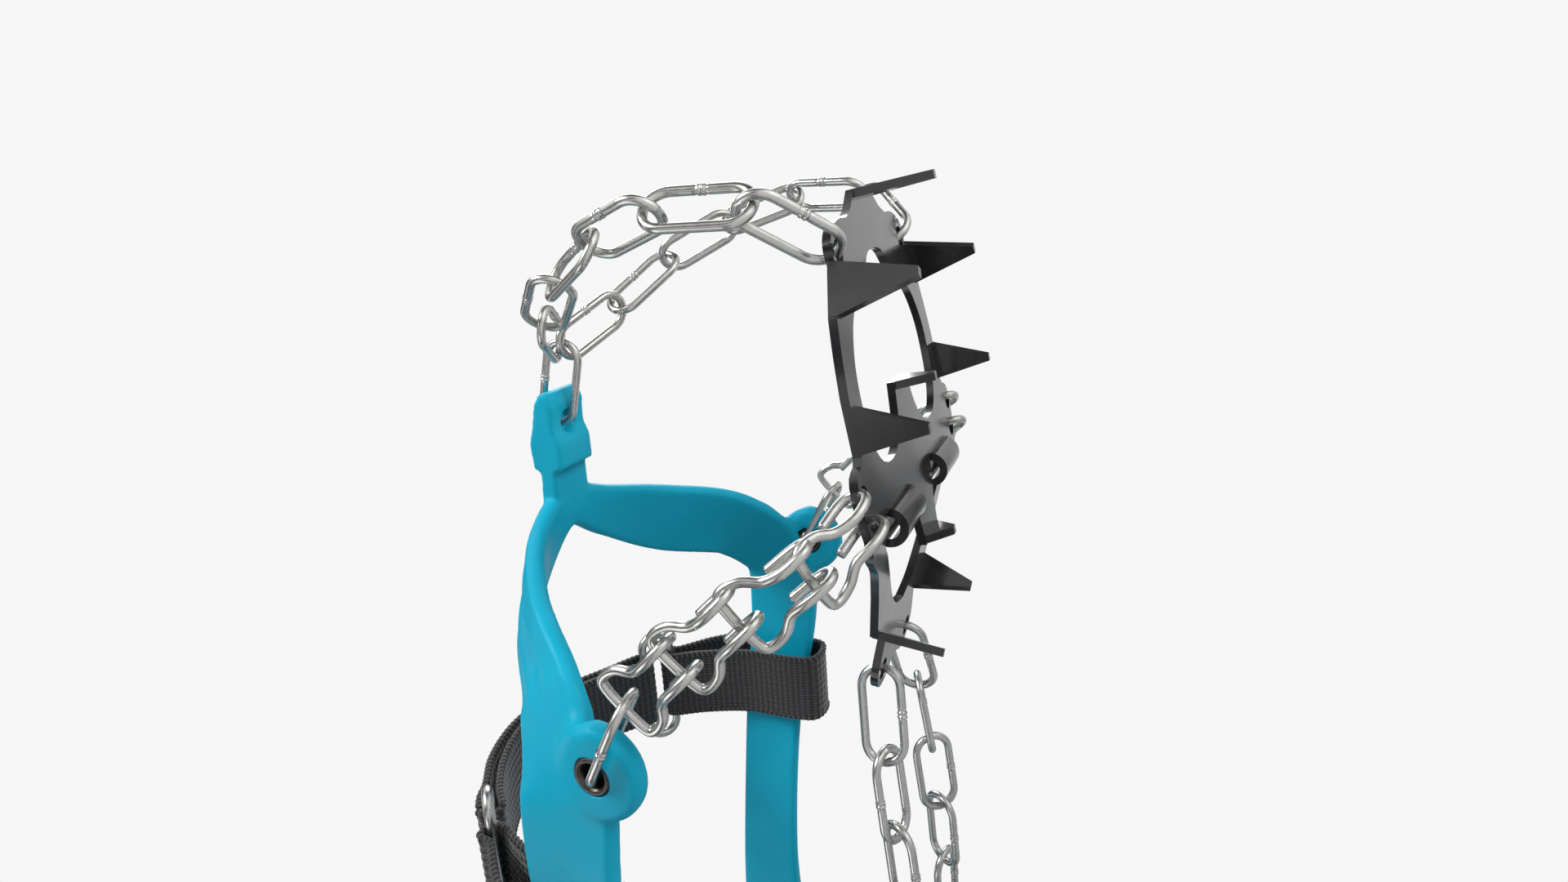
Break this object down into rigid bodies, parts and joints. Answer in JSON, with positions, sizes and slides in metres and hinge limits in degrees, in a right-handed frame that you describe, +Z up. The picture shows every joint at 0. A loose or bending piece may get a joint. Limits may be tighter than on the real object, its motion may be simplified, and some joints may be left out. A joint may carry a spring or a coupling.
{
  "type": "shoe ice cleats",
  "caption": "Pull-on ice cleats for a boot: stretch harness, link and ladder chains, spiked plates under the ball and heel, and a buckled instep strap.",
  "frame": {"origin": "middle of the boot's tread plane, on the top face level of the heel plate, between the two plates", "axes": "+X towards the toe, +Y towards the boot's left side, +Z up into the boot, spikes point to -Z"},
  "size_m": [0.2821, 0.1218, 0.1235],
  "materials": {
    "black_plate": "gloss black coating on pressed steel",
    "elastomer": "satin moulded elastomer",
    "grommet": "dark satin metal",
    "steel_wire": "bright zinc-plated steel wire",
    "webbing": "matt ribbed webbing"
  },
  "bodies": {
    "worn_frame": {"front_spike_plate": "black_plate", "heel_spike_plate": "black_plate", "harness": "elastomer", "right_front_grommet": "grommet", "left_front_grommet": "grommet", "right_rear_grommet": "grommet", "left_rear_grommet": "grommet", "instep_strap": "webbing", "right_strap_loop": "webbing", "left_strap_loop": "webbing"},
    "toe_link_1": {"toe_link_1": "steel_wire"},
    "right_toe_chain_1": {"right_toe_chain_1": "steel_wire"},
    "right_toe_chain_2": {"right_toe_chain_2": "steel_wire"},
    "right_toe_chain_3": {"right_toe_chain_3": "steel_wire"},
    "right_toe_chain_4": {"right_toe_chain_4": "steel_wire"},
    "right_toe_chain_5": {"right_toe_chain_5": "steel_wire"},
    "right_toe_chain_6": {"right_toe_chain_6": "steel_wire"},
    "right_sole_chain_1": {"right_sole_chain_1": "steel_wire"},
    "right_sole_chain_2": {"right_sole_chain_2": "steel_wire"},
    "right_sole_chain_3": {"right_sole_chain_3": "steel_wire"},
    "right_sole_chain_4": {"right_sole_chain_4": "steel_wire"},
    "right_sole_chain_5": {"right_sole_chain_5": "steel_wire"},
    "right_sole_chain_6": {"right_sole_chain_6": "steel_wire"},
    "right_heel_chain_1": {"right_heel_chain_1": "steel_wire"},
    "right_heel_chain_2": {"right_heel_chain_2": "steel_wire"},
    "right_heel_chain_3": {"right_heel_chain_3": "steel_wire"},
    "left_toe_chain_1": {"left_toe_chain_1": "steel_wire"},
    "left_toe_chain_2": {"left_toe_chain_2": "steel_wire"},
    "left_toe_chain_3": {"left_toe_chain_3": "steel_wire"},
    "left_toe_chain_4": {"left_toe_chain_4": "steel_wire"},
    "left_toe_chain_5": {"left_toe_chain_5": "steel_wire"},
    "left_toe_chain_6": {"left_toe_chain_6": "steel_wire"},
    "left_sole_chain_1": {"left_sole_chain_1": "steel_wire"},
    "left_sole_chain_2": {"left_sole_chain_2": "steel_wire"},
    "left_sole_chain_3": {"left_sole_chain_3": "steel_wire"},
    "left_sole_chain_4": {"left_sole_chain_4": "steel_wire"},
    "left_sole_chain_5": {"left_sole_chain_5": "steel_wire"},
    "left_sole_chain_6": {"left_sole_chain_6": "steel_wire"},
    "left_heel_chain_1": {"left_heel_chain_1": "steel_wire"},
    "left_heel_chain_2": {"left_heel_chain_2": "steel_wire"},
    "left_heel_chain_3": {"left_heel_chain_3": "steel_wire"},
    "right_ladder_1": {"right_ladder_1": "steel_wire"},
    "right_ladder_2": {"right_ladder_2": "steel_wire"},
    "right_ladder_3": {"right_ladder_3": "steel_wire"},
    "right_ladder_4": {"right_ladder_4": "steel_wire"},
    "right_ear_link_1": {"right_ear_link_1": "steel_wire"},
    "left_ladder_1": {"left_ladder_1": "steel_wire"},
    "left_ladder_2": {"left_ladder_2": "steel_wire"},
    "left_ladder_3": {"left_ladder_3": "steel_wire"},
    "left_ladder_4": {"left_ladder_4": "steel_wire"},
    "left_ear_link_1": {"left_ear_link_1": "steel_wire"},
    "strap_end": {"strap_end": "webbing"},
    "right_strap_ring": {"right_strap_ring": "steel_wire"},
    "left_strap_ring": {"left_strap_ring": "steel_wire"}
  },
  "joints": [
    {"name": "toe_link_1_roll", "type": "hinge", "parent": "worn_frame", "child": "toe_link_1", "pos_m": [0.08793, 0, 0.0814], "axis": [0.9677, 0, -0.2522], "range_deg": [-3, 8]},
    {"name": "right_toe_chain_1_roll", "type": "hinge", "parent": "worn_frame", "child": "right_toe_chain_1", "pos_m": [0.09993, -0.0061, 0.07747], "axis": [0.4109, -0.8199, -0.3987], "range_deg": [-0.5, 6]},
    {"name": "right_toe_chain_2_roll", "type": "hinge", "parent": "worn_frame", "child": "right_toe_chain_2", "pos_m": [0.10774, -0.01768, 0.06882], "axis": [0.5231, -0.5667, -0.6366], "range_deg": [-12, 12]},
    {"name": "right_toe_chain_3_roll", "type": "hinge", "parent": "worn_frame", "child": "right_toe_chain_3", "pos_m": [0.11578, -0.02571, 0.05675], "axis": [0.4397, -0.3939, -0.8071], "range_deg": [-12, 12]},
    {"name": "right_toe_chain_4_roll", "type": "hinge", "parent": "worn_frame", "child": "right_toe_chain_4", "pos_m": [0.12193, -0.03136, 0.04239], "axis": [0.2967, -0.2827, -0.9122], "range_deg": [-12, 12]},
    {"name": "right_toe_chain_5_roll", "type": "hinge", "parent": "worn_frame", "child": "right_toe_chain_5", "pos_m": [0.12436, -0.03293, 0.02645], "axis": [-0.0064, 0.0951, -0.9954], "range_deg": [-12, 12]},
    {"name": "right_toe_chain_6_roll", "type": "hinge", "parent": "worn_frame", "child": "right_toe_chain_6", "pos_m": [0.1202, -0.02706, 0.01292], "axis": [-0.491, 0.6078, -0.6241], "range_deg": [-12, 12]},
    {"name": "right_sole_chain_1_roll", "type": "hinge", "parent": "worn_frame", "child": "right_sole_chain_1", "pos_m": [0.02249, -0.01234, 0.00473], "axis": [-0.9443, -0.3043, -0.1257], "range_deg": [-12, 12]},
    {"name": "right_sole_chain_2_roll", "type": "hinge", "parent": "worn_frame", "child": "right_sole_chain_2", "pos_m": [0.00635, -0.01561, 0.00259], "axis": [-0.9877, -0.087, -0.1303], "range_deg": [-12, 12]},
    {"name": "right_sole_chain_3_roll", "type": "hinge", "parent": "worn_frame", "child": "right_sole_chain_3", "pos_m": [-0.01021, -0.01658, 0.00058], "axis": [-0.9935, -0.0285, -0.1098], "range_deg": [-12, 12]},
    {"name": "right_sole_chain_4_roll", "type": "hinge", "parent": "worn_frame", "child": "right_sole_chain_4", "pos_m": [-0.02684, -0.01732, -0.00074], "axis": [-0.997, -0.0607, -0.0478], "range_deg": [-12, 12]},
    {"name": "right_sole_chain_5_roll", "type": "hinge", "parent": "worn_frame", "child": "right_sole_chain_5", "pos_m": [-0.0435, -0.0184, -0.0012], "axis": [-0.9977, -0.0677, -0.0073], "range_deg": [-12, 12]},
    {"name": "right_sole_chain_6_roll", "type": "hinge", "parent": "worn_frame", "child": "right_sole_chain_6", "pos_m": [-0.06015, -0.01971, -0.00109], "axis": [-0.9958, -0.0897, 0.0196], "range_deg": [-12, 12]},
    {"name": "right_heel_chain_1_roll", "type": "hinge", "parent": "worn_frame", "child": "right_heel_chain_1", "pos_m": [-0.09662, -0.03567, 0.00499], "axis": [-0.0025, -0.6966, 0.7175], "range_deg": [-12, 12]},
    {"name": "right_heel_chain_2_roll", "type": "hinge", "parent": "worn_frame", "child": "right_heel_chain_2", "pos_m": [-0.09812, -0.04155, 0.01921], "axis": [-0.1768, -0.0077, 0.9842], "range_deg": [-12, 12]},
    {"name": "right_heel_chain_3_roll", "type": "hinge", "parent": "worn_frame", "child": "right_heel_chain_3", "pos_m": [-0.09982, -0.04133, 0.03578], "axis": [-0.0266, 0.0331, 0.9991], "range_deg": [-12, 12]},
    {"name": "left_toe_chain_1_roll", "type": "hinge", "parent": "worn_frame", "child": "left_toe_chain_1", "pos_m": [0.10001, 0.00621, 0.0752], "axis": [0.4201, 0.8332, -0.3595], "range_deg": [-0.5, 6]},
    {"name": "left_toe_chain_2_roll", "type": "hinge", "parent": "worn_frame", "child": "left_toe_chain_2", "pos_m": [0.10834, 0.01832, 0.06769], "axis": [0.5761, 0.6153, -0.5381], "range_deg": [-12, 12]},
    {"name": "left_toe_chain_3_roll", "type": "hinge", "parent": "worn_frame", "child": "left_toe_chain_3", "pos_m": [0.11683, 0.02675, 0.05645], "axis": [0.4401, 0.3934, -0.8072], "range_deg": [-12, 12]},
    {"name": "left_toe_chain_4_roll", "type": "hinge", "parent": "worn_frame", "child": "left_toe_chain_4", "pos_m": [0.12295, 0.03237, 0.04205], "axis": [0.2918, 0.2786, -0.915], "range_deg": [-12, 12]},
    {"name": "left_toe_chain_5_roll", "type": "hinge", "parent": "worn_frame", "child": "left_toe_chain_5", "pos_m": [0.12512, 0.03366, 0.02612], "axis": [-0.0325, -0.1232, -0.9919], "range_deg": [-12, 12]},
    {"name": "left_toe_chain_6_roll", "type": "hinge", "parent": "worn_frame", "child": "left_toe_chain_6", "pos_m": [0.12058, 0.02743, 0.01286], "axis": [-0.5102, -0.6219, -0.5942], "range_deg": [-12, 12]},
    {"name": "left_sole_chain_1_roll", "type": "hinge", "parent": "worn_frame", "child": "left_sole_chain_1", "pos_m": [0.02249, 0.01234, 0.00473], "axis": [-0.9443, 0.3043, -0.1257], "range_deg": [-12, 12]},
    {"name": "left_sole_chain_2_roll", "type": "hinge", "parent": "worn_frame", "child": "left_sole_chain_2", "pos_m": [0.00635, 0.01561, 0.00259], "axis": [-0.9877, 0.087, -0.1303], "range_deg": [-12, 12]},
    {"name": "left_sole_chain_3_roll", "type": "hinge", "parent": "worn_frame", "child": "left_sole_chain_3", "pos_m": [-0.01021, 0.01658, 0.00058], "axis": [-0.9935, 0.0285, -0.1098], "range_deg": [-12, 12]},
    {"name": "left_sole_chain_4_roll", "type": "hinge", "parent": "worn_frame", "child": "left_sole_chain_4", "pos_m": [-0.02684, 0.01732, -0.00074], "axis": [-0.997, 0.0607, -0.0478], "range_deg": [-12, 12]},
    {"name": "left_sole_chain_5_roll", "type": "hinge", "parent": "worn_frame", "child": "left_sole_chain_5", "pos_m": [-0.0435, 0.0184, -0.0012], "axis": [-0.9977, 0.0677, -0.0073], "range_deg": [-12, 12]},
    {"name": "left_sole_chain_6_roll", "type": "hinge", "parent": "worn_frame", "child": "left_sole_chain_6", "pos_m": [-0.06015, 0.01971, -0.00109], "axis": [-0.9958, 0.0897, 0.0196], "range_deg": [-12, 12]},
    {"name": "left_heel_chain_1_roll", "type": "hinge", "parent": "worn_frame", "child": "left_heel_chain_1", "pos_m": [-0.09662, 0.03567, 0.00499], "axis": [-0.0025, 0.6966, 0.7175], "range_deg": [-12, 12]},
    {"name": "left_heel_chain_2_roll", "type": "hinge", "parent": "worn_frame", "child": "left_heel_chain_2", "pos_m": [-0.09812, 0.04155, 0.01921], "axis": [-0.1768, 0.0077, 0.9842], "range_deg": [-12, 12]},
    {"name": "left_heel_chain_3_roll", "type": "hinge", "parent": "worn_frame", "child": "left_heel_chain_3", "pos_m": [-0.09982, 0.04133, 0.03578], "axis": [-0.0266, -0.0331, 0.9991], "range_deg": [-12, 12]},
    {"name": "right_ladder_1_sway", "type": "hinge", "parent": "worn_frame", "child": "right_ladder_1", "pos_m": [0.07416, -0.03681, 0.0001], "axis": [0.14, -0.4661, -0.8736], "range_deg": [-4, 3]},
    {"name": "right_ladder_2_sway", "type": "hinge", "parent": "worn_frame", "child": "right_ladder_2", "pos_m": [0.06966, -0.04832, 0.00553], "axis": [0.0324, -0.9078, -0.4181], "range_deg": [-3, 2]},
    {"name": "right_ladder_3_sway", "type": "hinge", "parent": "worn_frame", "child": "right_ladder_3", "pos_m": [0.06338, -0.05351, 0.01631], "axis": [0.018, -0.9794, -0.201], "range_deg": [-4, 1]},
    {"name": "right_ladder_4_sway", "type": "hinge", "parent": "worn_frame", "child": "right_ladder_4", "pos_m": [0.05484, -0.05576, 0.02653], "axis": [0.0004, -0.9992, -0.0399], "range_deg": [-5, 4]},
    {"name": "right_ear_link_1_roll", "type": "hinge", "parent": "worn_frame", "child": "right_ear_link_1", "pos_m": [0.03894, -0.05572, 0.03978], "axis": [-0.8788, 0.0592, 0.4735], "range_deg": [-10, 20]},
    {"name": "left_ladder_1_sway", "type": "hinge", "parent": "worn_frame", "child": "left_ladder_1", "pos_m": [0.07416, 0.03681, 0.0001], "axis": [0.14, 0.4661, -0.8736], "range_deg": [-3, 4]},
    {"name": "left_ladder_2_sway", "type": "hinge", "parent": "worn_frame", "child": "left_ladder_2", "pos_m": [0.06966, 0.04832, 0.00553], "axis": [0.0324, 0.9078, -0.4181], "range_deg": [-2, 3]},
    {"name": "left_ladder_3_sway", "type": "hinge", "parent": "worn_frame", "child": "left_ladder_3", "pos_m": [0.06338, 0.05351, 0.01631], "axis": [0.018, 0.9794, -0.201], "range_deg": [-1, 4]},
    {"name": "left_ladder_4_sway", "type": "hinge", "parent": "worn_frame", "child": "left_ladder_4", "pos_m": [0.05484, 0.05576, 0.02653], "axis": [0.0004, 0.9992, -0.0399], "range_deg": [-4, 5]},
    {"name": "left_ear_link_1_roll", "type": "hinge", "parent": "worn_frame", "child": "left_ear_link_1", "pos_m": [0.03894, 0.05572, 0.03978], "axis": [-0.8788, -0.0592, 0.4735], "range_deg": [-20, 10]},
    {"name": "strap_end_peel", "type": "hinge", "parent": "worn_frame", "child": "strap_end", "pos_m": [-0.012, -0.0332, 0.0946], "axis": [1, 0, 0], "range_deg": [0, 100]},
    {"name": "right_strap_ring_slide", "type": "slide", "parent": "worn_frame", "child": "right_strap_ring", "axis": [1, 0, 0], "range_m": [-0.0025, 0.0025]},
    {"name": "left_strap_ring_slide", "type": "slide", "parent": "worn_frame", "child": "left_strap_ring", "axis": [1, 0, 0], "range_m": [-0.0025, 0.0025]}
  ]
}
